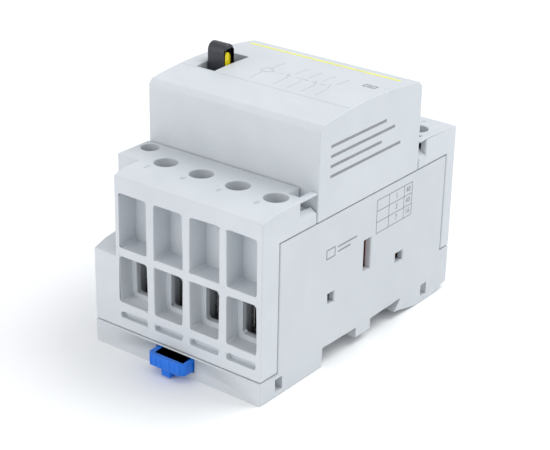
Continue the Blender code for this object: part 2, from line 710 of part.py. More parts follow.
def make_carrier():
    """The contact carrier, with a window for each bridge and its spring."""
    bm = bmesh.new()
    low, high = CENTRE_Y - CARRIER_HALF_Y, CENTRE_Y + CARRIER_HALF_Y
    add_prism(bm, carrier_outline(), "Y", low, high)
    carrier = finish("contact_carrier", bm, "carrier_brown")
    windows = bmesh.new()
    for x in POLES:
        add_block(windows, (x - WINDOW_HALF, low - 1, WINDOW_LOW), (x + WINDOW_HALF, high + 1, WINDOW_HIGH))
    cut(carrier, "bridge_windows", windows)
    return carrier


def make_bridge(index, x):
    """A contact bridge: a flat bar with a pad below each end."""
    low, high = CENTRE_Y - BRIDGE_HALF, CENTRE_Y + BRIDGE_HALF
    top = BRIDGE_LOW + 0.8 + BRIDGE_THICK
    outline = [(low, BRIDGE_LOW), (low, top), (high, top), (high, BRIDGE_LOW)]
    outline += [(high - 3, BRIDGE_LOW), (high - 3, BRIDGE_LOW + 0.8)]
    outline += [(low + 3, BRIDGE_LOW + 0.8), (low + 3, BRIDGE_LOW)]
    bm = bmesh.new()
    add_prism(bm, outline, "X", x - STRIP_HALF_X, x + STRIP_HALF_X)
    finish(f"contact_bridge_{index}", bm, "copper", (x, CENTRE_Y, top))


def make_spring(name, centre, low, high, radius, wire, turns):
    """A helical compression spring, as one round wire with flat ends."""
    per_turn, sides = 10, 5
    rings = []
    bm = bmesh.new()
    steps = turns * per_turn
    rise = (high - low - 2 * wire) / steps
    x, y = centre
    for step in range(steps + 1):
        angle = math.tau * step / per_turn
        outward = Vector((math.cos(angle), math.sin(angle), 0))
        middle = Vector((x, y, low + wire + rise * step)) + outward * radius
        ring = []
        for corner in range(sides):
            turn = math.tau * corner / sides
            offset = outward * math.cos(turn) + Vector((0, 0, math.sin(turn)))
            ring.append(bm.verts.new(middle + offset * wire))
        rings.append(ring)
    for one, two in zip(rings, rings[1:]):
        for corner in range(sides):
            after = (corner + 1) % sides
            bm.faces.new((one[corner], one[after], two[after], two[corner]))
    bm.faces.new(rings[0])
    bm.faces.new(rings[-1])
    return finish(name, bm, "spring_steel", (x, y, low), smooth=True)


def make_strip(name, row, x):
    """A fixed contact strip: clamped end, a drop, and the contact end with its pad."""

    def at(distance):
        return CENTRE_Y + ROWS[row] * distance

    clamped_top = STRIP_CLAMPED + STRIP_THICK
    contact_top = STRIP_CONTACT + STRIP_THICK
    outline = [(at(35.0), STRIP_CLAMPED), (at(35.0), clamped_top), (at(22.0), clamped_top)]
    outline += [(at(22.0), contact_top), (at(14.2), contact_top), (at(14.2), contact_top + PAD)]
    outline += [(at(10.6), contact_top + PAD), (at(10.6), STRIP_CONTACT)]
    outline += [(at(23.2), STRIP_CONTACT), (at(23.2), STRIP_CLAMPED)]
    bm = bmesh.new()
    add_prism(bm, outline, "X", x - STRIP_HALF_X, x + STRIP_HALF_X)
    finish(name, bm, "copper")


def make_clamp(name, x, y, half, z_range, wall, hole, surface):
    """A clamp: a box open along Y for the wire, with a hole on top for its screw."""
    low, high = z_range
    half_x, half_y = half
    outer = (x - half_x, low, x + half_x, high)
    inner = (x - half_x + wall, low + 1.2, x + half_x - wall, high - 1.2)
    bm = bmesh.new()
    add_ring(bm, outer, inner, "Y", y - half_y, y + half_y)
    clamp = finish(name, bm, surface, (x, y, low))
    bore = bmesh.new()
    add_rod(bore, (x, y, high - 2.2), (x, y, high + 1), hole)
    cut(clamp, "screw_hole", bore)


def make_screw(name, x, y, tip, head_low, head_high, head, shank, surface):
    """A terminal screw: a head with a cross recess, a shank and a cone-pointed tip."""
    profile = [(0, head_high), (head - 0.3, head_high), (head, head_high - 0.3), (head, head_low)]
    profile += [(shank, head_low), (shank, tip + 0.5), (shank - 0.5, tip), (0, tip)]
    bm = bmesh.new()
    add_turned(bm, (x, y), profile, 16)
    screw = finish(name, bm, surface, (x, y, head_low), smooth=True)
    arm, thin = head * 0.68, head * 0.16
    recess = [(arm, thin), (thin, thin), (thin, arm), (-thin, arm), (-thin, thin), (-arm, thin)]
    recess += [(-a, -b) for a, b in recess]
    cross = bmesh.new()
    add_prism(cross, [(x + a, y + b) for a, b in recess], "Z", head_high - 1.6, head_high + 1)
    cut(screw, "cross_recess", cross)


def make_pole(index, x):
    """One pole: a strip, a clamp and a screw at each end, and the bridge with its spring."""
    for row in ROWS:
        y = screw_y(row)
        make_strip(f"{row}_strip_{index}", row, x)
        half = (CLAMP_HALF_X, CLAMP_HALF_Y)
        bore = SCREW_SHANK_RADIUS + GAP
        z_range = (CLAMP_LOW, CLAMP_HIGH)
        make_clamp(f"{row}_clamp_{index}", x, y, half, z_range, CLAMP_WALL, bore, "plated_steel")
        tip = STRIP_CLAMPED + STRIP_THICK + GAP
        make_screw(
            f"{row}_screw_{index}", x, y, tip, SCREW_HEAD_LOW, SCREW_HEAD_HIGH,
            SCREW_HEAD_RADIUS, SCREW_SHANK_RADIUS, "plated_steel",
        )
    make_bridge(index, x)
    spring_low = BRIDGE_LOW + 0.8 + BRIDGE_THICK + GAP
    make_spring(f"contact_spring_{index}", (x, CENTRE_Y), spring_low, WINDOW_HIGH - GAP, 1.8, 0.3, 4)


def make_coil_terminal(row):
    """One coil terminal: clamp, screw, strip, and the lead that joins the strip to the winding."""
    side = ROWS[row]
    y = CENTRE_Y + side * COIL_ROW
    half = (COIL_CLAMP_HALF_X, COIL_CLAMP_HALF_Y)
    z_range = (COIL_CLAMP_LOW, COIL_CLAMP_HIGH)
    bore = COIL_SHANK_RADIUS + GAP
    make_clamp(f"coil_clamp_{row}", COIL_SCREW_X, y, half, z_range, COIL_CLAMP_WALL, bore, "plated_steel")
    tip = COIL_STRIP_Z + COIL_STRIP_THICK + GAP
    make_screw(
        f"coil_screw_{row}", COIL_SCREW_X, y, tip, COIL_HEAD_LOW, COIL_HEAD_HIGH,
        COIL_HEAD_RADIUS, COIL_SHANK_RADIUS, "plated_steel",
    )
    low, high = span(y + side * 3.4, CENTRE_Y + side * 19.0)
    top = COIL_STRIP_Z + COIL_STRIP_THICK
    strip = block_tool(((COIL_SCREW_X - 1.2, low, COIL_STRIP_Z), (COIL_SCREW_X + 1.2, high, top)))
    finish(f"coil_strip_{row}", strip, "brass")
    make_coil_lead(row, side)


def make_coil_lead(row, side):
    """The lead from the winding's side to the end of the coil strip, as a smooth tube."""
    route = [(-8.1, 12.6, 50.6), (-11.0, 14.4, 49.4), (-15.0, 16.0, 46.0)]
    route += [(-19.5, 17.0, 41.5), (-22.4, 18.3, 38.6)]
    guide = bpy.data.curves.new(f"coil_lead_{row}", "CURVE")
    guide.dimensions = "3D"
    guide.bevel_depth = 0.55 * MM
    guide.bevel_resolution = 2
    guide.use_fill_caps = True
    guide.resolution_u = 4
    spline = guide.splines.new("BEZIER")
    spline.bezier_points.add(len(route) - 1)
    for point, (x, reach, z) in zip(spline.bezier_points, route):
        point.co = Vector((x, CENTRE_Y + side * reach, z)) * MM
        point.handle_left_type = "AUTO"
        point.handle_right_type = "AUTO"
    guide.materials.append(material("lead_sleeve"))
    lead = bpy.data.objects.new(f"coil_lead_{row}", guide)
    bpy.context.scene.collection.objects.link(lead)
    lead.parent = FRAME


def lever_outline():
    """The lever from its side: a tab with a half-round top, on a round drum about its pin."""
    steps = 8
    points = []
    for index in range(steps + 1):
        angle = math.pi * index / steps
        y = LEVER_Y + LEVER_HALF * math.cos(angle)
        points.append((y, LEVER_TOP - LEVER_HALF * (1 - math.sin(angle))))
    start = math.acos(LEVER_HALF / DRUM_RADIUS)
    sweep = math.tau - (math.pi - 2 * start)
    for index in range(17):
        angle = math.pi - start + sweep * index / 16
        y = LEVER_Y + DRUM_RADIUS * math.cos(angle)
        points.append((y, LEVER_PIVOT_Z + DRUM_RADIUS * math.sin(angle)))
    return points


def make_lever():
    """The manual lever, its coloured insert, and the pin it turns on."""
    pivot = (LEVER_LEFT / 2 + LEVER_RIGHT / 2, LEVER_Y, LEVER_PIVOT_Z)
    bm = bmesh.new()
    add_prism(bm, lever_outline(), "X", LEVER_LEFT, LEVER_RIGHT)
    lever = finish("lever", bm, "charcoal", pivot, smooth=True)
    pocket = bmesh.new()
    pocket_outline = insert_outline(1.6, 64.2, 70.9, 71.4)
    add_prism(pocket, pocket_outline, "X", LEVER_RIGHT - 3.3, LEVER_RIGHT + 1)
    cut(lever, "insert_pocket", pocket)
    bore = bmesh.new()
    start = (LEVER_LEFT - 1, LEVER_Y, LEVER_PIVOT_Z)
    add_rod(bore, start, (LEVER_RIGHT + 1, LEVER_Y, LEVER_PIVOT_Z), PIN_RADIUS + GAP)
    cut(lever, "pin_hole", bore)
    insert = bmesh.new()
    outline = insert_outline(1.3, 64.5, 69.4, 70.4)
    add_prism(insert, outline, "X", LEVER_RIGHT - 3.0, LEVER_RIGHT - 0.5)
    finish("lever_insert", insert, "signal_yellow", pivot)
    pin = bmesh.new()
    add_rod(pin, (-26.0, LEVER_Y, LEVER_PIVOT_Z), (-16.05, LEVER_Y, LEVER_PIVOT_Z), PIN_RADIUS)
    finish("lever_pin", pin, "plated_steel", smooth=True)


def insert_outline(half, low, shoulder, peak):
    """A narrow upright shape with sloping shoulders, seen from the side."""
    return [
        (LEVER_Y - half, low),
        (LEVER_Y - half, shoulder),
        (LEVER_Y - half * 0.4, peak),
        (LEVER_Y + half * 0.4, peak),
        (LEVER_Y + half, shoulder),
        (LEVER_Y + half, low),
    ]


def make_return_springs():
    """Two springs that lift the carrier, standing on the floor between poles."""
    for name, x in (("left", POLES[0] + POLE_PITCH / 2), ("right", POLES[3] - POLE_PITCH / 2)):
        make_spring(f"return_spring_{name}", (x, CENTRE_Y), FLOOR_TOP + GAP, CARRIER_LOW - GAP, 2.6, 0.4, 6)


def main():
    make_base()
    make_cover()
    for row in ROWS:
        make_terminal_block(row)
    make_rail_clip()
    make_magnet_frame()
    make_cores()
    make_shading_rings()
    make_coil()
    make_carrier()
    make_return_springs()
    for index, x in enumerate(POLES, start=1):
        make_pole(index, x)
    for row in ROWS:
        make_coil_terminal(row)
    make_lever()


clear_scene()
FRAME = make_frame()
main()
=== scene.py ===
"""Looks of a modular DIN rail contactor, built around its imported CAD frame.

Every piece is in metres and in the frame's own axes: +X along the rail, +Y from the front
terminals to the rear ones, +Z away from the rail.
"""

import json
import math

import bmesh
import bpy
from mathutils import Matrix, Quaternion, Vector
from mathutils.bvhtree import BVHTree

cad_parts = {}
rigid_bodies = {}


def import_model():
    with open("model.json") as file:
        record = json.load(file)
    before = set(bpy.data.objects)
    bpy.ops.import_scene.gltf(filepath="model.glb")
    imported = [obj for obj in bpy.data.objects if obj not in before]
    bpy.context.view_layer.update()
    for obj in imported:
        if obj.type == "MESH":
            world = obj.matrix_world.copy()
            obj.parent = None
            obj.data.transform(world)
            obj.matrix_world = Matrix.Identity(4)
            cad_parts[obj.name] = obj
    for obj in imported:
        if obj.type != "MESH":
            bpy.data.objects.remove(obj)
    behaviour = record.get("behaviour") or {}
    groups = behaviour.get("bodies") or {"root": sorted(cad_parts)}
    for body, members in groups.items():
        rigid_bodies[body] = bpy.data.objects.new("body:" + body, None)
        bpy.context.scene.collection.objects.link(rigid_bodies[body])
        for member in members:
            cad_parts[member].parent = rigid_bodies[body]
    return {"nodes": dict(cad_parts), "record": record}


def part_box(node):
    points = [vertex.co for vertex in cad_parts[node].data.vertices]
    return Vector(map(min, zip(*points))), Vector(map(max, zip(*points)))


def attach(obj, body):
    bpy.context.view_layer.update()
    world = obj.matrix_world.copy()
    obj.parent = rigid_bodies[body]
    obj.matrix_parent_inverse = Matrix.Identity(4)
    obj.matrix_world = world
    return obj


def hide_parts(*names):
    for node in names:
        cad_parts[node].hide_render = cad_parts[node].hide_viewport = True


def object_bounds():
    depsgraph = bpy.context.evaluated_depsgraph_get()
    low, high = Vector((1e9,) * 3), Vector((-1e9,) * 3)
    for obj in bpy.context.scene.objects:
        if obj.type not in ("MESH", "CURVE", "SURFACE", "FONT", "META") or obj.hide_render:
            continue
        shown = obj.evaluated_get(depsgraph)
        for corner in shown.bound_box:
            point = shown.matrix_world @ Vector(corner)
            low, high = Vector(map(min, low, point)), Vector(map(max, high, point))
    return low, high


bl_info = {
    "name": "DIN Rail Contactor",
    "version": (1, 0, 0),
    "blender": (4, 5, 0),
    "location": "3D View > Sidebar > Contactor",
    "description": "Finishes the shells, terminals, magnet and markings of a modular contactor",
    "category": "Object",
}

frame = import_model()
CAD_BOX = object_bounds()
MM = 0.001
MERGE = 2e-6
SLOTS = {part["node"]: part["material_slot"] for part in frame["record"]["subparts"]}
BODIES = frame["record"]["behaviour"]["bodies"]
BODY_OF = {node: body for body, nodes in BODIES.items() for node in nodes}
ROWS = ("line", "load")
POLES = (1, 2, 3, 4)
BASE_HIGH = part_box("housing_base")[1]


def length(name, description, default):
    """A length property, given in millimetres and kept in metres."""
    return bpy.props.FloatProperty(name=name, description=description, default=default * MM, unit="LENGTH")


def colour(name, description, default):
    return bpy.props.FloatVectorProperty(
        name=name, description=description, default=(*default, 1.0), size=4, subtype="COLOR", min=0, max=1
    )


class ContactorShellSettings(bpy.types.PropertyGroup):
    """Sizes of the moulded housing's finish."""

    edge_round: length("Edge Round", "Rounding of the shells' outer edges", 0.34)
    pocket_round: length("Pocket Round", "Radius in the corners of the terminal pockets", 0.75)
    grey: colour("Housing Grey", "Colour of the cover and the terminal blocks", (0.600, 0.635, 0.668))
    base_grey: colour("Base Grey", "Colour of the base", (0.580, 0.612, 0.642))


class ContactorTrimSettings(bpy.types.PropertyGroup):
    """Sizes and colours of the clip and the lever."""

    clip_blue: colour("Clip Blue", "Colour of the rail clip", (0.0, 0.145, 0.66))
    lever_grey: colour("Lever Grey", "Colour of the manual lever", (0.030, 0.031, 0.040))
    insert_yellow: colour("Insert Yellow", "Colour of the insert in the lever", (0.93, 0.76, 0.004))
    carrier_brown: colour("Carrier Brown", "Colour of the contact carrier", (0.40, 0.16, 0.12))
    trim_round: length("Trim Round", "Rounding of the clip's and the lever's edges", 0.38)
    rib_pitch: length("Rib Pitch", "Spacing of the grip ribs on the clip's handle", 1.5)
    rib_radius: length("Rib Radius", "Radius of each grip rib", 0.42)


class ContactorMetalSettings(bpy.types.PropertyGroup):
    """Sizes of the metal pieces' finish."""

    metal_round: length("Metal Round", "Rounding of pressed and turned edges", 0.12)
    thread_pitch: length("Thread Pitch", "Pitch of the terminal screws' thread", 0.8)
    thread_depth: length("Thread Depth", "Height of the terminal screws' thread", 0.2)


class ContactorPrintSettings(bpy.types.PropertyGroup):
    """Sizes and colours of the plain generic markings."""

    film: length("Film", "Thickness of the printed film", 0.03)
    stripe_width: length("Stripe Width", "Width of the coloured stripe across the nose", 1.25)
    stripe_yellow: colour("Stripe Yellow", "Colour of the stripe", (0.80, 0.80, 0.13))
    ink: colour("Ink", "Colour of the printed rules and numbers", (0.24, 0.25, 0.27))
    faint_ink: colour("Faint Ink", "Colour of the engraved circuit drawing", (0.44, 0.46, 0.49))


class ContactorStageSettings(bpy.types.PropertyGroup):
    """The camera's place, the lights and the floor."""

    azimuth: bpy.props.FloatProperty(
        name="Azimuth", description="Camera bearing", default=math.radians(37.0), subtype="ANGLE"
    )
    elevation: bpy.props.FloatProperty(
        name="Elevation", description="Camera height angle", default=math.radians(24.35), subtype="ANGLE"
    )
    roll: bpy.props.FloatProperty(
        name="Roll", description="Camera turn about its view", default=math.radians(1.17), subtype="ANGLE"
    )
    distance: length("Distance", "Camera distance from its target", 402.7)
    target_height: length("Target Height", "Height that the camera looks at", 26.6)
    lens: bpy.props.FloatProperty(name="Lens", description="Focal length in millimetres", default=99.97)
    floor_white: colour("Floor White", "Colour of the floor", (0.97, 0.975, 0.98))


# Shader node groups. Each puts out only masks and heights that change over the surface.


def new_group(name, inputs, outputs):
    """An empty shader group; inputs and outputs are (name, default) and names."""
    group = bpy.data.node_groups.new(name, "ShaderNodeTree")
    for label, default in inputs:
        socket = group.interface.new_socket(name=label, in_out="INPUT", socket_type="NodeSocketFloat")
        socket.default_value = default
    for label in outputs:
        group.interface.new_socket(name=label, in_out="OUTPUT", socket_type="NodeSocketFloat")
    return group, group.nodes.new("NodeGroupInput"), group.nodes.new("NodeGroupOutput")


def add_node(tree, kind, **settings):
    node = tree.nodes.new(kind)
    for key, value in settings.items():
        if key in node.inputs:
            node.inputs[key].default_value = value
        else:
            setattr(node, key, value)
    return node


def noise(tree, source, scale, detail=3.0, roughness=0.5, stretch=(1, 1, 1)):
    """Noise on a stretched copy of the coordinates; scale is a number, or the socket that gives it."""
    mapping = add_node(tree, "ShaderNodeMapping")
    mapping.inputs["Scale"].default_value = stretch
    tree.links.new(source, mapping.inputs["Vector"])
    texture = add_node(tree, "ShaderNodeTexNoise")
    texture.inputs["Detail"].default_value = detail
    texture.inputs["Roughness"].default_value = roughness
    tree.links.new(mapping.outputs["Vector"], texture.inputs["Vector"])
    feed(tree, scale, texture.inputs["Scale"])
    return texture.outputs["Fac"]


def feed(tree, value, socket):
    """Sets a socket to a number, or links another socket to it."""
    if isinstance(value, (int, float)):
        socket.default_value = value
    else:
        tree.links.new(value, socket)


def maths(tree, operation, first, second=0.0, clamp=False):
    node = add_node(tree, "ShaderNodeMath", operation=operation, use_clamp=clamp)
    feed(tree, first, node.inputs[0])
    feed(tree, second, node.inputs[1])
    return node.outputs[0]


def remap(tree, value, low, high, out_low=0.0, out_high=1.0):
    node = add_node(tree, "ShaderNodeMapRange")
    feed(tree, value, node.inputs["Value"])
    feed(tree, low, node.inputs["From Min"])
    feed(tree, high, node.inputs["From Max"])
    feed(tree, out_low, node.inputs["To Min"])
    feed(tree, out_high, node.inputs["To Max"])
    return node.outputs["Result"]


def grain_group():
    """Spark-eroded mould texture: a fine bumpy grain over slow unevenness in tone and gloss."""
    sizes = [("Grain Size", 2600.0), ("Drift Size", 55.0)]
    group, given, out = new_group("Mould Grain", sizes, ("Height", "Tone"))
    place = add_node(group, "ShaderNodeTexCoord").outputs["Object"]
    fine = noise(group, place, given.outputs["Grain Size"], 2.0, 0.6)
    slow = noise(group, place, given.outputs["Drift Size"], 4.0, 0.55)
    group.links.new(fine, out.inputs["Height"])
    mixed = maths(group, "ADD", maths(group, "MULTIPLY", slow, 0.75), maths(group, "MULTIPLY", fine, 0.25))
    group.links.new(remap(group, mixed, 0.32, 0.68), out.inputs["Tone"])
    return group


def scuff_group():
    """Short hairline scratches in two directions, broken up into patches."""
    group, given, out = new_group("Handling Scuffs", [("Size", 420.0), ("Amount", 0.5)], ("Mask", "Height"))
    place = add_node(group, "ShaderNodeTexCoord").outputs["Object"]
    one = noise(group, place, given.outputs["Size"], 2.0, 0.7, (0.12, 1.0, 4.0))
    two = noise(group, place, given.outputs["Size"], 2.0, 0.7, (2.6, 1.0, 0.1))
    lines = maths(group, "MAXIMUM", remap(group, one, 0.67, 0.71), remap(group, two, 0.68, 0.72))
    patch = remap(group, noise(group, place, 38.0, 3.0), 0.5, 0.66)
    patchy = maths(group, "MULTIPLY", lines, patch)
    worn = maths(group, "MULTIPLY", patchy, given.outputs["Amount"], clamp=True)
    group.links.new(worn, out.inputs["Mask"])
    group.links.new(maths(group, "MULTIPLY", worn, -1.0), out.inputs["Height"])
    return group


def dust_group():
    """Fine dust that lies on faces that look up, in loose clouds."""
    group, given, out = new_group("Settled Dust", [("Amount", 0.3), ("Speck Size", 900.0)], ("Mask",))
    geometry = add_node(group, "ShaderNodeNewGeometry")
    split = add_node(group, "ShaderNodeSeparateXYZ")
    group.links.new(geometry.outputs["Normal"], split.inputs[0])
    place = add_node(group, "ShaderNodeTexCoord").outputs["Object"]
    level = remap(group, split.outputs["Z"], 0.35, 0.95)
    cloud = remap(group, noise(group, place, 70.0, 4.0), 0.42, 0.7)
    speck = remap(group, noise(group, place, given.outputs["Speck Size"], 1.0), 0.55, 0.75)
    cover = maths(group, "MULTIPLY", level, maths(group, "MULTIPLY", cloud, speck))
    group.links.new(maths(group, "MULTIPLY", cover, given.outputs["Amount"], clamp=True), out.inputs["Mask"])
    return group


def flow_group():
    """Faint flow marks of moulded plastic: warped bands that run across the shell."""
    group, given, out = new_group("Flow Marks", [("Size", 42.0)], ("Tone",))
    place = add_node(group, "ShaderNodeTexCoord").outputs["Object"]
    wave = add_node(group, "ShaderNodeTexWave", bands_direction="DIAGONAL")
    wave.inputs["Distortion"].default_value = 9.0
    wave.inputs["Detail"].default_value = 3.0
    group.links.new(place, wave.inputs["Vector"])
    group.links.new(given.outputs["Size"], wave.inputs["Scale"])
    group.links.new(wave.outputs["Fac"], out.inputs["Tone"])
    return group


def metal_group():
    """Drawn and plated metal: lengthwise drawing lines, crystal patches of plating, and stains."""
    sizes = [("Line Size", 1500.0), ("Patch Size", 260.0)]
    group, given, out = new_group("Drawn Metal", sizes, ("Height", "Tone", "Stain"))
    place = add_node(group, "ShaderNodeTexCoord").outputs["Object"]
    lines = noise(group, place, given.outputs["Line Size"], 2.0, 0.6, (1.0, 0.06, 1.0))
    cells = add_node(group, "ShaderNodeTexVoronoi")
    group.links.new(place, cells.inputs["Vector"])
    group.links.new(given.outputs["Patch Size"], cells.inputs["Scale"])
    crystal = add_node(group, "ShaderNodeSeparateColor")
    group.links.new(cells.outputs["Color"], crystal.inputs[0])
    patches = maths(group, "MULTIPLY", crystal.outputs[0], 0.4)
    tone = maths(group, "ADD", maths(group, "MULTIPLY", lines, 0.6), patches)
    group.links.new(lines, out.inputs["Height"])
    group.links.new(remap(group, tone, 0.25, 0.75), out.inputs["Tone"])
    group.links.new(remap(group, noise(group, place, 180.0, 5.0, 0.65), 0.5, 0.72), out.inputs["Stain"])
    return group


def layer_group():
    """Stacked layers: laminations of a core or turns of a winding, as bands across one axis."""
    sizes = [("Pitch Count", 320.0), ("Across Y", 1.0)]
    group, given, out = new_group("Stacked Layers", sizes, ("Height", "Tone"))
    place = add_node(group, "ShaderNodeTexCoord").outputs["Object"]
    split = add_node(group, "ShaderNodeSeparateXYZ")
    group.links.new(place, split.inputs[0])
    across = maths(group, "MULTIPLY", split.outputs["Y"], given.outputs["Across Y"])
    rest = maths(group, "SUBTRACT", 1.0, given.outputs["Across Y"])
    along = maths(group, "ADD", across, maths(group, "MULTIPLY", split.outputs["Z"], rest))
    turns = maths(group, "MULTIPLY", given.outputs["Pitch Count"], math.tau)
    wave = maths(group, "SINE", maths(group, "MULTIPLY", along, turns))
    group.links.new(wave, out.inputs["Height"])
    rough = noise(group, place, 700.0, 3.0)
    group.links.new(remap(group, maths(group, "ADD", wave, rough), -0.6, 1.6), out.inputs["Tone"])
    return group


GROUPS = {}


def effect(tree, builder, **values):
    """Places a shared effect in a material, with its own values."""
    name = builder.__name__
    if name not in GROUPS:
        GROUPS[name] = builder()
    node = tree.nodes.new("ShaderNodeGroup")
    node.node_tree = GROUPS[name]
    for key, value in values.items():
        node.inputs[key.replace("_", " ")].default_value = value
    return node.outputs


def blend_colours(tree, factor, first, second):
    """first and second are colours or sockets."""
    node = add_node(tree, "ShaderNodeMix", data_type="RGBA")
    feed(tree, factor, node.inputs["Factor"])
    for socket, value in ((node.inputs[6], first), (node.inputs[7], second)):
        if isinstance(value, (tuple, list)):
            socket.default_value = value
        else:
            tree.links.new(value, socket)
    return node.outputs[2]


def shaded(base, factor):
    """A darker or lighter shade of a colour."""
    return (*[min(1.0, part * factor) for part in tuple(base)[:3]], 1.0)


def surface(name):
    """A material with only a Principled shader and its output."""
    made = bpy.data.materials.new(name)
    made.use_nodes = True
    tree = made.node_tree
    return made, tree, tree.nodes["Principled BSDF"]


def bump(tree, shader, height, strength, distance):
    node = add_node(tree, "ShaderNodeBump")
    node.inputs["Strength"].default_value = strength
    node.inputs["Distance"].default_value = distance
    tree.links.new(height, node.inputs["Height"])
    tree.links.new(node.outputs["Normal"], shader.inputs["Normal"])


def plastic(
    name, base, gloss=0.45, grain=2600.0, grain_depth=0.012, dust=0.25, scuffs=0.35, lift=1.05, warm=(1, 1, 1)
):
    """Moulded plastic: drifting tone, flow marks, scuffs, dust and a spark-eroded grain."""
    made, tree, shader = surface(name)
    tone = effect(tree, grain_group, Grain_Size=grain)
    flow = effect(tree, flow_group)
    scuff = effect(tree, scuff_group, Amount=scuffs)
    dusty = effect(tree, dust_group, Amount=dust)
    aged = tuple(part * tint for part, tint in zip(tuple(base)[:3], warm))
    body = blend_colours(tree, tone["Tone"], shaded(base, 0.95), shaded(aged, lift))
    marked = blend_colours(tree, maths(tree, "MULTIPLY", flow["Tone"], 0.10), body, shaded(base, 0.88))
    scratched = blend_colours(tree, maths(tree, "MULTIPLY", scuff["Mask"], 0.55), marked, shaded(base, 1.35))
    settled = blend_colours(tree, dusty["Mask"], scratched, (0.62, 0.60, 0.56, 1.0))
    tree.links.new(settled, shader.inputs["Base Color"])
    polish = remap(tree, tone["Tone"], 0.0, 1.0, gloss - 0.04, gloss + 0.06)
    worn = maths(tree, "ADD", polish, maths(tree, "MULTIPLY", scuff["Mask"], 0.2))
    dulled = maths(tree, "ADD", worn, maths(tree, "MULTIPLY", dusty["Mask"], 0.3), clamp=True)
    tree.links.new(dulled, shader.inputs["Roughness"])
    relief = maths(tree, "ADD", tone["Height"], scuff["Height"])
    bump(tree, shader, relief, 0.35, grain_depth * MM)
    return made


def metal(name, base, gloss=0.3, stain=(0.5, 0.45, 0.38), stain_amount=0.35, line=1500.0):
    """Plated or bare metal with drawing lines, crystal patches and light stains."""
    made, tree, shader = surface(name)
    shader.inputs["Metallic"].default_value = 1.0
    worked = effect(tree, metal_group, Line_Size=line)
    scuff = effect(tree, scuff_group, Amount=0.8)
    body = blend_colours(tree, worked["Tone"], shaded(base, 0.82), shaded(base, 1.08))
    dull = tuple(part * tint for part, tint in zip(tuple(base)[:3], stain))
    aged = blend_colours(tree, maths(tree, "MULTIPLY", worked["Stain"], stain_amount), body, (*dull, 1.0))
    bright = blend_colours(tree, scuff["Mask"], aged, shaded(base, 1.25))
    tree.links.new(bright, shader.inputs["Base Color"])
    rough = remap(tree, worked["Tone"], 0.0, 1.0, gloss + 0.08, gloss - 0.06)
    dulled = maths(tree, "ADD", rough, maths(tree, "MULTIPLY", worked["Stain"], 0.22))
    tree.links.new(dulled, shader.inputs["Roughness"])
    bump(tree, shader, maths(tree, "ADD", worked["Height"], scuff["Height"]), 0.3, 0.02 * MM)
    return made


def layered(name, base, metallic, pitch_count, across_y, gloss, depth):
    """A stack: laminated core steel, or close turns of enamelled wire."""
    made, tree, shader = surface(name)
    shader.inputs["Metallic"].default_value = metallic
    stack = effect(tree, layer_group, Pitch_Count=pitch_count, Across_Y=across_y)
    worked = effect(tree, metal_group, Patch_Size=150.0)
    body = blend_colours(tree, stack["Tone"], shaded(base, 0.55), shaded(base, 1.1))
    aged = blend_colours(tree, maths(tree, "MULTIPLY", worked["Stain"], 0.3), body, shaded(base, 0.6))
    tree.links.new(aged, shader.inputs["Base Color"])
    rough = remap(tree, worked["Tone"], 0.0, 1.0, gloss + 0.1, gloss - 0.05)
    tree.links.new(rough, shader.inputs["Roughness"])
    bump(tree, shader, stack["Height"], 0.6, depth * MM)
    return made


def printed(name, base, gloss=0.55):
    """Pad-printed ink: thin places where the plastic below shows, and soft unevenness."""
    made, tree, shader = surface(name)
    tone = effect(tree, grain_group, Grain_Size=3400.0, Drift_Size=240.0)
    scuff = effect(tree, scuff_group, Amount=0.7)
    body = blend_colours(tree, tone["Tone"], shaded(base, 0.9), shaded(base, 1.15))
    thin = blend_colours(tree, maths(tree, "MULTIPLY", scuff["Mask"], 0.6), body, (0.66, 0.69, 0.71, 1.0))
    tree.links.new(thin, shader.inputs["Base Color"])
    rough = remap(tree, tone["Tone"], 0.0, 1.0, gloss - 0.08, gloss + 0.08)
    tree.links.new(rough, shader.inputs["Roughness"])
    bump(tree, shader, tone["Height"], 0.25, 0.006 * MM)
    return made


FINISHES = {}


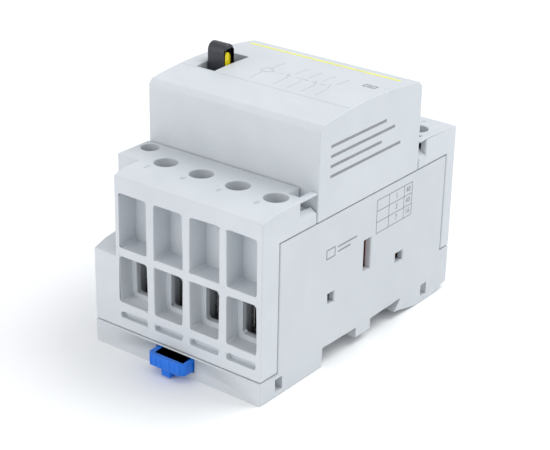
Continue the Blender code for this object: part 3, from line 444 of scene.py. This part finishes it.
def finish_of(slot):
    """The material of a record slot, made when it is first asked for."""
    if slot in FINISHES:
        return FINISHES[slot]
    shell = bpy.context.scene.contactor_shell
    trim = bpy.context.scene.contactor_trim
    makers = {
        "base_shell": lambda: plastic("Base Plastic", shell.base_grey, 0.46, warm=(1.0, 0.995, 0.98)),
        "cover_shell": lambda: plastic("Cover Plastic", shell.grey, 0.44, warm=(1.0, 0.995, 0.985)),
        "blue_clip": lambda: plastic("Clip Plastic", trim.clip_blue, 0.30, 1800.0, 0.006, 0.05, 0.3, 1.2),
        "black_frame": lambda: plastic(
            "Frame Plastic", (0.02, 0.02, 0.022, 1), 0.5, 1500.0, 0.02, 0.1, 0.3, 1.5
        ),
        "brown_carrier": lambda: plastic(
            "Carrier Plastic", trim.carrier_brown, 0.5, 1400.0, 0.02, 0.1, 0.3, 1.25
        ),
        "bobbin": lambda: plastic("Bobbin Nylon", (0.72, 0.69, 0.60, 1), 0.42, 1900.0, 0.01, 0.1, 0.2),
        "lever_plastic": lambda: plastic(
            "Lever Plastic", trim.lever_grey, 0.27, 2200.0, 0.004, 0.03, 0.35, 1.3
        ),
        "yellow_insert": lambda: plastic(
            "Insert Plastic", trim.insert_yellow, 0.33, 2200.0, 0.005, 0.02, 0.2, 1.05
        ),
        "lead_sleeve": lambda: plastic(
            "Sleeve Plastic", (0.36, 0.03, 0.025, 1), 0.45, 1500.0, 0.01, 0.05, 0.1, 1.3
        ),
        "core_steel": lambda: layered("Core Laminations", (0.40, 0.40, 0.42), 1.0, 2000.0, 1.0, 0.36, 0.05),
        "enamelled_wire": lambda: layered("Winding Enamel", (0.55, 0.17, 0.06), 0.7, 3500.0, 0.0, 0.28, 0.09),
        "copper": lambda: metal("Strip Copper", (0.80, 0.37, 0.21), 0.32, (0.45, 0.34, 0.30), 0.6),
        "spring_wire": lambda: metal("Spring Wire", (0.56, 0.57, 0.58), 0.24, line=2600.0),
        # Painted shade: the zinc base colour is darkened well below bright plated steel so that the screw
        # shafts and terminal necks read black, as they do in deep shade.
        "zinc_steel": lambda: metal("Zinc Plate", (0.40, 0.40, 0.39), 0.30, (0.78, 0.72, 0.55), 0.4),
        "brass": lambda: metal("Strip Brass", (0.78, 0.58, 0.25), 0.30, (0.5, 0.42, 0.3), 0.5),
    }
    FINISHES[slot] = makers[slot]()
    return FINISHES[slot]


# Geometry shared by the pieces.


def merged_copy(node):
    """The CAD node's mesh with its loose triangles joined into flat faces."""
    bm = bmesh.new()
    bm.from_mesh(frame["nodes"][node].data)
    bmesh.ops.remove_doubles(bm, verts=bm.verts, dist=MERGE)
    bmesh.ops.dissolve_limit(bm, angle_limit=math.radians(0.6), verts=bm.verts, edges=bm.edges)
    return bm


def corner_edges(bm, shortest, convex=True, angle=30.0, test=None):
    """Sharp edges that are long enough to round, either outer corners or inner ones."""
    found = []
    for edge in bm.edges:
        if len(edge.link_faces) != 2 or edge.calc_length() < shortest:
            continue
        if edge.calc_face_angle(0.0) < math.radians(angle) or edge.is_convex != convex:
            continue
        if test is None or test(edge):
            found.append(edge)
    return found


def round_edges(bm, edges, width, segments):
    if edges:
        bmesh.ops.bevel(
            bm, geom=edges, offset=width, offset_type="OFFSET", segments=segments,
            profile=0.5, affect="EDGES", material=-1, clamp_overlap=False,
        )


def finish_piece(name, bm, slot, body, replaces=(), smooth_angle=32.0):
    """Turns a bmesh in place into a finished piece that rides on a body."""
    mesh = bpy.data.meshes.new(name)
    bm.to_mesh(mesh)
    bm.free()
    mesh.shade_smooth()
    mesh.set_sharp_from_angle(angle=math.radians(smooth_angle))
    piece = bpy.data.objects.new(name, mesh)
    bpy.context.scene.collection.objects.link(piece)
    mesh.materials.clear()
    mesh.materials.append(finish_of(slot))
    flat = piece.modifiers.new("Flat Faces", "WEIGHTED_NORMAL")
    flat.keep_sharp = True
    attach(piece, body)
    if replaces:
        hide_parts(*replaces)
    return piece


def refine(node, width, segments=2, suffix="detailed"):
    """A CAD node's copy with its sharp outer corners rounded."""
    bm = merged_copy(node)
    round_edges(bm, corner_edges(bm, width * 2.2), width, segments)
    return finish_piece(f"{node}_{suffix}", bm, SLOTS[node], BODY_OF[node], (node,))


def smooth_wire(node):
    """A CAD spring or lead with its facets smoothed away by one subdivision."""
    bm = merged_copy(node)
    piece = finish_piece(f"{node}_wire", bm, SLOTS[node], BODY_OF[node], (node,), 60.0)
    smoother = piece.modifiers.new("Round Wire", "SUBSURF")
    smoother.levels = 1
    smoother.render_levels = 1
    return piece


def moulded_shell(node, settings):
    """A housing shell: round corners inside the terminal pockets, then rounded outer edges."""
    shortest_pocket, deepest_pocket = 1.2 * MM, 7.5 * MM
    face_wall, window_edge = 6.4 * MM, 4 * MM
    bm = merged_copy(node)

    def in_pocket(edge):
        one, two = edge.verts
        along_y = abs(one.co.y - two.co.y) > 0.98 * edge.calc_length()
        return along_y and shortest_pocket < edge.calc_length() < deepest_pocket

    if node.endswith("terminal_block"):
        corners = corner_edges(bm, shortest_pocket, False, 60.0, in_pocket)
        round_edges(bm, corners, settings.pocket_round, 4)
    low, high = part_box(node)
    clip_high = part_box("rail_clip")[1]
    wall = BASE_HIGH.x - 2.6 * MM

    def has_room(edge):
        """False in the closed chambers, round the clip's channel and at the low windows."""
        middle = (edge.verts[0].co + edge.verts[1].co) / 2
        if node.endswith("terminal_block"):
            depth = min(middle.y - low.y, high.y - middle.y)
            return depth < face_wall or abs(middle.x) > wall or middle.z > high.z - 2 * MM
        if node != "housing_base" or middle.z > clip_high.z + 0.5 * MM:
            return True
        beside_clip = abs(middle.x) < clip_high.x + 2 * MM
        round_window = abs(middle.x) > wall and edge.calc_length() < window_edge
        return not beside_clip and not round_window

    round_edges(bm, corner_edges(bm, 0.9 * MM, test=has_room), settings.edge_round, 3)
    return finish_piece(f"{node}_moulding", bm, SLOTS[node], BODY_OF[node], (node,))


class ContactorOperator:
    """What every operator here shares: undo, and an error when its settings aren't there."""

    bl_options = {"REGISTER", "UNDO"}

    @classmethod
    def poll(cls, context):
        return hasattr(context.scene, "contactor_shell")


class CONTACTOR_OT_shells(ContactorOperator, bpy.types.Operator):
    """Makes the moulded base, cover and terminal blocks"""

    bl_idname = "contactor.shells"
    bl_label = "Housing Shells"

    def execute(self, context):
        for node in ("housing_base", "housing_cover", "line_terminal_block", "load_terminal_block"):
            moulded_shell(node, context.scene.contactor_shell)
        return {"FINISHED"}


class CONTACTOR_OT_clip(ContactorOperator, bpy.types.Operator):
    """Makes the rail clip with its grip ribs"""

    bl_idname = "contactor.clip"
    bl_label = "Rail Clip"

    def execute(self, context):
        trim = context.scene.contactor_trim
        refine("rail_clip", trim.trim_round, 3, "moulding")
        low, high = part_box("rail_clip")
        ribs = bmesh.new()
        count = int((high.x - low.x - 3.0 * MM) / trim.rib_pitch)
        for index in range(count + 1):
            x = (low.x + high.x) / 2 + (index - count / 2) * trim.rib_pitch
            if abs(x) < 1.4 * MM:
                continue
            place = Matrix.Translation((x, low.y + trim.rib_radius * 0.55, high.z - 1.7 * MM))
            bmesh.ops.create_cone(
                ribs, cap_ends=True, segments=20, radius1=trim.rib_radius, radius2=trim.rib_radius,
                depth=2.5 * MM, matrix=place,
            )
        round_edges(ribs, corner_edges(ribs, 0.0), 0.12 * MM, 2)
        finish_piece("clip_grip_ribs", ribs, "blue_clip", "clip")
        return {"FINISHED"}


class CONTACTOR_OT_lever(ContactorOperator, bpy.types.Operator):
    """Makes the manual lever, its coloured insert and its pin"""

    bl_idname = "contactor.lever"
    bl_label = "Manual Lever"

    def execute(self, context):
        trim = context.scene.contactor_trim
        refine("lever", trim.trim_round, 4, "moulding")
        refine("lever_insert", 0.18 * MM, 3, "moulding")
        refine("lever_pin", 0.15 * MM, 2, "turned")
        return {"FINISHED"}


class CONTACTOR_OT_terminals(ContactorOperator, bpy.types.Operator):
    """Makes the clamps, their threaded screws and the fixed strips"""

    bl_idname = "contactor.terminals"
    bl_label = "Terminals"

    def execute(self, context):
        settings = context.scene.contactor_metal
        for row in ROWS:
            for pole in POLES:
                refine(f"{row}_clamp_{pole}", settings.metal_round, 2, "pressed")
                refine(f"{row}_strip_{pole}", settings.metal_round, 2, "pressed")
                threaded_screw(f"{row}_screw_{pole}", settings)
            refine(f"coil_clamp_{row}", settings.metal_round, 2, "pressed")
            refine(f"coil_strip_{row}", settings.metal_round, 2, "pressed")
            threaded_screw(f"coil_screw_{row}", settings)
            smooth_wire(f"coil_lead_{row}")
        return {"FINISHED"}


def threaded_screw(node, settings):
    """A terminal screw with rounded head and a helical thread wound round its shank."""
    bm = merged_copy(node)
    low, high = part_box(node)
    x, y = (low.x + high.x) / 2, (low.y + high.y) / 2
    shank = max(math.hypot(vert.co.x - x, vert.co.y - y) for vert in bm.verts if vert.co.z < low.z + 1.5 * MM)
    under_head = min(
        vert.co.z for vert in bm.verts if math.hypot(vert.co.x - x, vert.co.y - y) > shank + 0.2 * MM
    )
    round_edges(bm, corner_edges(bm, 0.3 * MM), settings.metal_round, 2)
    steps, pitch = 20, settings.thread_pitch
    turns = (under_head - low.z - 1.6 * MM) / pitch
    start = low.z + 0.8 * MM
    inner, outer = shank - 0.05 * MM, shank + settings.thread_depth
    corners = ((inner, -0.32 * pitch), (outer, 0.0), (inner, 0.32 * pitch))
    face = bm.faces.new([bm.verts.new((x + radius, y, start + rise)) for radius, rise in corners])
    bmesh.ops.spin(
        bm, geom=[face] + list(face.edges) + list(face.verts), cent=(x, y, 0), axis=(0, 0, 1),
        dvec=(0, 0, pitch / steps), angle=math.tau * turns, steps=int(steps * turns), use_merge=False,
    )
    bmesh.ops.recalc_face_normals(bm, faces=bm.faces)
    return finish_piece(f"{node}_turned", bm, SLOTS[node], BODY_OF[node], (node,))


class CONTACTOR_OT_magnet(ContactorOperator, bpy.types.Operator):
    """Makes the magnet's cores, shading rings, frame, bobbin and winding"""

    bl_idname = "contactor.magnet"
    bl_label = "Magnet"

    def execute(self, context):
        settings = context.scene.contactor_metal
        for node in ("fixed_core", "moving_core", "shading_ring_left", "shading_ring_right"):
            refine(node, settings.metal_round, 2, "stacked")
        refine("magnet_frame", 0.25 * MM, 2, "moulding")
        refine("coil_bobbin", 0.2 * MM, 2, "moulding")
        wound_coil()
        return {"FINISHED"}


def wound_coil():
    """The winding, cut into close turns that each stand out a little."""
    bm = merged_copy("coil_winding")
    low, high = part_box("coil_winding")
    turns = 30
    step = (high.z - low.z) / turns
    for index in range(1, turns):
        level = low.z + step * index
        bmesh.ops.bisect_plane(
            bm, geom=bm.verts[:] + bm.edges[:] + bm.faces[:], dist=MERGE,
            plane_co=(0, 0, level), plane_no=(0, 0, 1),
        )
    centre = Vector(((low.x + high.x) / 2, (low.y + high.y) / 2, 0))
    half = (high - low) / 2
    for vert in bm.verts:
        turn = round((vert.co.z - low.z) / step)
        if turn % 2 and 0 < turn < turns:
            for axis in (0, 1):
                if abs(abs(vert.co[axis] - centre[axis]) - half[axis]) < 0.01 * MM:
                    vert.co[axis] -= math.copysign(0.12 * MM, vert.co[axis] - centre[axis])
    round_edges(bm, corner_edges(bm, 0.1 * MM, True, 60.0), 0.15 * MM, 2)
    finish_piece("coil_winding_wound", bm, "enamelled_wire", "housing", ("coil_winding",), 15.0)


class CONTACTOR_OT_contacts(ContactorOperator, bpy.types.Operator):
    """Makes the contact carrier, the bridges and all the springs"""

    bl_idname = "contactor.contacts"
    bl_label = "Contacts"

    def execute(self, context):
        settings = context.scene.contactor_metal
        refine("contact_carrier", 0.2 * MM, 2, "moulding")
        for pole in POLES:
            refine(f"contact_bridge_{pole}", settings.metal_round, 2, "pressed")
            smooth_wire(f"contact_spring_{pole}")
        for side in ("left", "right"):
            smooth_wire(f"return_spring_{side}")
        return {"FINISHED"}


# Printed and engraved markings, all plain rules and numbers.


def add_rule(bm, start, end, width, cuts=1):
    """A flat bar between two points of a plane, as a strip of quads, at height zero."""
    start, end = Vector((*start, 0)), Vector((*end, 0))
    along = end - start
    turn = Matrix.Rotation(math.atan2(along.y, along.x), 4, "Z")
    size = Matrix.Diagonal((along.length / 2, width / 2, 1, 1))
    place = Matrix.Translation((start + end) / 2) @ turn @ size
    bmesh.ops.create_grid(bm, x_segments=max(1, cuts), y_segments=1, size=1.0, matrix=place)


def add_frame(bm, low, high, width):
    """The outline of a rectangle, drawn with four rules."""
    low_x, low_y = low
    high_x, high_y = high
    half = width / 2
    add_rule(bm, (low_x - half, low_y), (high_x + half, low_y), width)
    add_rule(bm, (low_x - half, high_y), (high_x + half, high_y), width)
    add_rule(bm, (low_x, low_y + half), (low_x, high_y - half), width)
    add_rule(bm, (high_x, low_y + half), (high_x, high_y - half), width)


def add_number(bm, text, centre, height, turn=0.0):
    """A plain number, as flat faces at height zero, centred on a point."""
    outline = bpy.data.curves.new(f"number_{text}", "FONT")
    outline.body = text
    outline.size = height * 1.35
    outline.align_x = "CENTER"
    outline.align_y = "CENTER"
    outline.resolution_u = 3
    holder = bpy.data.objects.new(f"number_{text}", outline)
    bpy.context.scene.collection.objects.link(holder)
    graph = bpy.context.evaluated_depsgraph_get()
    mesh = bpy.data.meshes.new_from_object(holder.evaluated_get(graph))
    mesh.transform(Matrix.Translation((*centre, 0)) @ Matrix.Rotation(turn, 4, "Z"))
    bm.from_mesh(mesh)
    bpy.data.meshes.remove(mesh)
    bpy.data.objects.remove(holder)
    bpy.data.curves.remove(outline)


def thicken(bm, outward, film):
    """Gives flat faces a thickness, so that a printed film is a closed body."""
    bmesh.ops.remove_doubles(bm, verts=bm.verts, dist=MERGE)
    grown = bmesh.ops.extrude_face_region(bm, geom=bm.faces[:])["geom"]
    lifted = [item for item in grown if isinstance(item, bmesh.types.BMVert)]
    bmesh.ops.translate(bm, verts=lifted, vec=Vector(outward) * film)
    bmesh.ops.recalc_face_normals(bm, faces=bm.faces)


def film_on_top(name, bm, nodes, material, film):
    """Lays flat faces on the upper surface of some nodes, and gives them a thickness."""
    trees = []
    for node in nodes:
        source = merged_copy(node)
        trees.append(BVHTree.FromBMesh(source))
        source.free()
    high = CAD_BOX[1][2] + 10 * MM
    for vert in bm.verts:
        hits = [tree.ray_cast(Vector((vert.co.x, vert.co.y, high)), Vector((0, 0, -1)))[0] for tree in trees]
        vert.co.z = max(hit.z for hit in hits if hit) + film * 0.1
    thicken(bm, (0, 0, 1), film)
    return print_piece(name, bm, material)


def film_on_side(name, bm, material, film):
    """Stands flat faces up on the housing's right side: x runs along Y and y runs up."""
    stand = Matrix(((0, 0, 1, BASE_HIGH.x + film * 0.1), (1, 0, 0, 0), (0, 1, 0, 0), (0, 0, 0, 1)))
    bmesh.ops.transform(bm, matrix=stand, verts=bm.verts)
    thicken(bm, (1, 0, 0), film)
    return print_piece(name, bm, material)


def print_piece(name, bm, material):
    mesh = bpy.data.meshes.new(name)
    bm.to_mesh(mesh)
    bm.free()
    mesh.materials.append(material)
    piece = bpy.data.objects.new(name, mesh)
    bpy.context.scene.collection.objects.link(piece)
    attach(piece, "housing")
    return piece


class CONTACTOR_OT_markings(ContactorOperator, bpy.types.Operator):
    """Prints the stripe, the terminal numbers and the plain rules on the housing"""

    bl_idname = "contactor.markings"
    bl_label = "Markings"

    def execute(self, context):
        settings = context.scene.contactor_print
        ink = printed("Print Ink", settings.ink)
        faint = printed("Faint Ink", settings.faint_ink)
        low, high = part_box("housing_cover")
        stripe = bmesh.new()
        rear = high.y - 5.7 * MM
        add_rule(stripe, (low.x + 2.3 * MM, rear), (high.x - 3.3 * MM, rear), settings.stripe_width, 12)
        yellow = printed("Stripe Yellow", settings.stripe_yellow, 0.4)
        film_on_top("nose_stripe", stripe, ["housing_cover"], yellow, settings.film)
        circuit_drawing(settings, faint, ink)
        terminal_numbers(settings, faint)
        side_print(settings, ink)
        return {"FINISHED"}


def circuit_drawing(settings, faint, ink):
    """A generic wiring diagram on the nose: four linked contacts and a coil, and two small bars."""
    low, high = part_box("housing_cover")
    front = low.y + 14.4 * MM
    drawing = bmesh.new()
    thin = 0.16 * MM
    first, pitch = low.x + 29.0 * MM, 4.3 * MM
    for index in range(4):
        x = first + pitch * index
        add_rule(drawing, (x, front), (x, front + 5.2 * MM), thin, 3)
        add_rule(drawing, (x, front + 5.2 * MM), (x - 1.5 * MM, front + 8.6 * MM), thin, 3)
        add_rule(drawing, (x, front + 9.0 * MM), (x, front + 14.6 * MM), thin, 3)
    for index in range(7):
        x = first - 6.4 * MM + 2.6 * MM * index
        add_rule(drawing, (x, front + 7.1 * MM), (x + 1.6 * MM, front + 7.1 * MM), thin)
    coil_x = first - 7.6 * MM
    add_frame(drawing, (coil_x - 1.3 * MM, front + 5.8 * MM), (coil_x + 1.3 * MM, front + 8.4 * MM), thin)
    add_rule(drawing, (coil_x, front), (coil_x, front + 5.6 * MM), thin, 3)
    add_rule(drawing, (coil_x, front + 8.6 * MM), (coil_x, front + 14.6 * MM), thin, 3)
    film_on_top("nose_circuit_drawing", drawing, ["housing_cover"], faint, settings.film)
    edge = bmesh.new()
    line_y = low.y + 12.4 * MM
    add_rule(edge, (low.x + 0.6 * MM, line_y), (high.x - 0.6 * MM, line_y), 0.35 * MM, 8)
    plate = finish_of("cover_shell")
    film_on_top("nose_label_edge", edge, ["housing_cover"], plate, settings.film * 2)
    bars = bmesh.new()
    right, middle = high.x - 5.3 * MM, low.y + 28.3 * MM
    add_frame(bars, (right - 1.7 * MM, middle - 0.9 * MM), (right + 1.7 * MM, middle + 0.9 * MM), 0.35 * MM)
    add_rule(bars, (right - 1.0 * MM, middle), (right + 1.0 * MM, middle), 0.4 * MM)
    film_on_top("nose_type_mark", bars, ["housing_cover"], ink, settings.film)


def terminal_numbers(settings, faint):
    """Plain numbers in front of each screwdriver shaft, even in front and odd behind."""
    numbers = bmesh.new()
    for side, row, offset in ((-1, "line", 2), (1, "load", 1)):
        for index, pole in enumerate(POLES):
            low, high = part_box(f"{row}_screw_{pole}")
            centre = ((low.x + high.x) / 2 - 1.6 * MM, (low.y + high.y) / 2 + side * 5.4 * MM)
            add_number(numbers, str(2 * index + offset), centre, 2.0 * MM)
    blocks = ["line_terminal_block", "load_terminal_block"]
    film_on_top("terminal_numbers", numbers, blocks, faint, settings.film)


def side_print(settings, ink):
    """The printed matter of the right side as plain rules, with a ruled table of numbers."""
    nose_low, nose_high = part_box("housing_cover")
    start, level = nose_low.y + 4.7 * MM, nose_high.z - 7.85 * MM
    lines = bmesh.new()
    for index, reach in enumerate((23.7, 27.7, 21.9, 30.6)):
        height = level - 2.6 * MM * index
        add_rule(lines, (start, height), (start + reach * MM, height), 0.75 * MM)
    level = BASE_HIGH.z - 9.1 * MM
    for index, reach in enumerate((12.7, 9.9)):
        height = level - 1.3 * MM * index
        add_rule(lines, (start + 4.5 * MM, height), (start + reach * MM, height), 0.42 * MM)
    add_frame(lines, (start - 0.3 * MM, level - 1.9 * MM), (start + 3.2 * MM, level + 0.5 * MM), 0.3 * MM)
    film_on_side("side_print_lines", lines, ink, settings.film)
    table = bmesh.new()
    right, top, row_height = nose_high.y - 2.2 * MM, BASE_HIGH.z - 2.3 * MM, 3.1 * MM
    left = right - 16.4 * MM
    for row in range(4):
        level = top - row * row_height
        add_rule(table, (left, level), (right, level), 0.2 * MM)
    for across in (left, left + 5.6 * MM, left + 12.6 * MM, right):
        add_rule(table, (across, top - 3 * row_height), (across, top), 0.2 * MM)
    for row, (middle, last) in enumerate((("1", "40"), ("3", "40"), ("7", "16"))):
        level = top - (row + 0.5) * row_height
        add_number(table, middle, (left + 9.1 * MM, level), 1.6 * MM)
        add_number(table, last, (left + 14.5 * MM, level), 1.6 * MM)
    film_on_side("side_print_table", table, ink, settings.film)


class CONTACTOR_OT_stage(ContactorOperator, bpy.types.Operator):
    """Makes the floor, the soft lights and the camera"""

    bl_idname = "contactor.stage"
    bl_label = "Stage"

    def execute(self, context):
        settings = context.scene.contactor_stage
        make_floor(settings)
        world = bpy.data.worlds.new("Soft Studio")
        world.use_nodes = True
        world.node_tree.nodes["Background"].inputs["Color"].default_value = (0.97, 0.985, 1.0, 1.0)
        world.node_tree.nodes["Background"].inputs["Strength"].default_value = 0.74
        context.scene.world = world
        add_light("key_softbox", (0.26, 0.30, 0.66), (0, 0, 0.04), 0.5, 3.2, (0.97, 0.985, 1.0))
        add_light("front_fill", (-0.25, -0.80, 0.35), (0, 0, 0.03), 0.7, 2.2, (1.0, 0.975, 0.985))
        make_camera(settings)
        context.scene.view_settings.view_transform = "Standard"
        return {"FINISHED"}


def make_floor(settings):
    bm = bmesh.new()
    bmesh.ops.create_grid(bm, x_segments=4, y_segments=4, size=3.0)
    mesh = bpy.data.meshes.new("studio_floor")
    bm.to_mesh(mesh)
    bm.free()
    floor = bpy.data.objects.new("studio_floor", mesh)
    bpy.context.scene.collection.objects.link(floor)
    made, _, shader = surface("Studio Floor")
    shader.inputs["Base Color"].default_value = settings.floor_white
    shader.inputs["Roughness"].default_value = 0.9
    shader.inputs["Specular IOR Level"].default_value = 0.1
    mesh.materials.append(made)


def add_light(name, place, target, size, power, tint):
    lamp = bpy.data.lights.new(name, "AREA")
    lamp.size = size
    lamp.energy = power
    lamp.color = tint
    holder = bpy.data.objects.new(name, lamp)
    holder.location = place
    holder.rotation_euler = (Vector(target) - Vector(place)).to_track_quat("-Z", "Y").to_euler()
    bpy.context.scene.collection.objects.link(holder)


def make_camera(settings):
    lens = bpy.data.cameras.new("Camera")
    lens.lens = settings.lens
    lens.sensor_width = 36.0
    lens.clip_start = 0.01
    camera = bpy.data.objects.new("Camera", lens)
    across = math.cos(settings.elevation) * settings.distance
    camera.location = (
        math.sin(settings.azimuth) * across,
        -math.cos(settings.azimuth) * across,
        settings.target_height + math.sin(settings.elevation) * settings.distance,
    )
    aim = Vector((0, 0, settings.target_height)) - camera.location
    facing = aim.to_track_quat("-Z", "Y") @ Quaternion((0, 0, 1), settings.roll)
    camera.rotation_euler = facing.to_euler()
    bpy.context.scene.collection.objects.link(camera)
    bpy.context.scene.camera = camera


SETTINGS = {
    "contactor_shell": ContactorShellSettings,
    "contactor_trim": ContactorTrimSettings,
    "contactor_metal": ContactorMetalSettings,
    "contactor_print": ContactorPrintSettings,
    "contactor_stage": ContactorStageSettings,
}
OPERATORS = (
    CONTACTOR_OT_stage,
    CONTACTOR_OT_shells,
    CONTACTOR_OT_clip,
    CONTACTOR_OT_lever,
    CONTACTOR_OT_terminals,
    CONTACTOR_OT_magnet,
    CONTACTOR_OT_contacts,
    CONTACTOR_OT_markings,
)


class CONTACTOR_PT_pieces(bpy.types.Panel):
    """Lists the settings and the operators of the contactor"""

    bl_label = "Contactor"
    bl_space_type = "VIEW_3D"
    bl_region_type = "UI"
    bl_category = "Contactor"

    def draw(self, context):
        layout = self.layout
        for name, kind in SETTINGS.items():
            box = layout.box()
            for key in kind.__annotations__:
                box.prop(getattr(context.scene, name), key)
        for operator in OPERATORS:
            layout.operator(operator.bl_idname)


def register():
    for kind in (*SETTINGS.values(), *OPERATORS, CONTACTOR_PT_pieces):
        bpy.utils.register_class(kind)
    for name, kind in SETTINGS.items():
        setattr(bpy.types.Scene, name, bpy.props.PointerProperty(type=kind))


def unregister():
    for name in SETTINGS:
        delattr(bpy.types.Scene, name)
    for kind in reversed((*SETTINGS.values(), *OPERATORS, CONTACTOR_PT_pieces)):
        bpy.utils.unregister_class(kind)


def main():
    register()
    for thing in list(bpy.data.objects):
        if thing.name in ("Cube", "Light"):
            bpy.data.objects.remove(thing)
    bpy.ops.contactor.stage()
    bpy.ops.contactor.shells()
    bpy.ops.contactor.clip()
    bpy.ops.contactor.lever()
    bpy.ops.contactor.terminals()
    bpy.ops.contactor.magnet()
    bpy.ops.contactor.contacts()
    bpy.ops.contactor.markings()


if __name__ == "__main__":
    main()
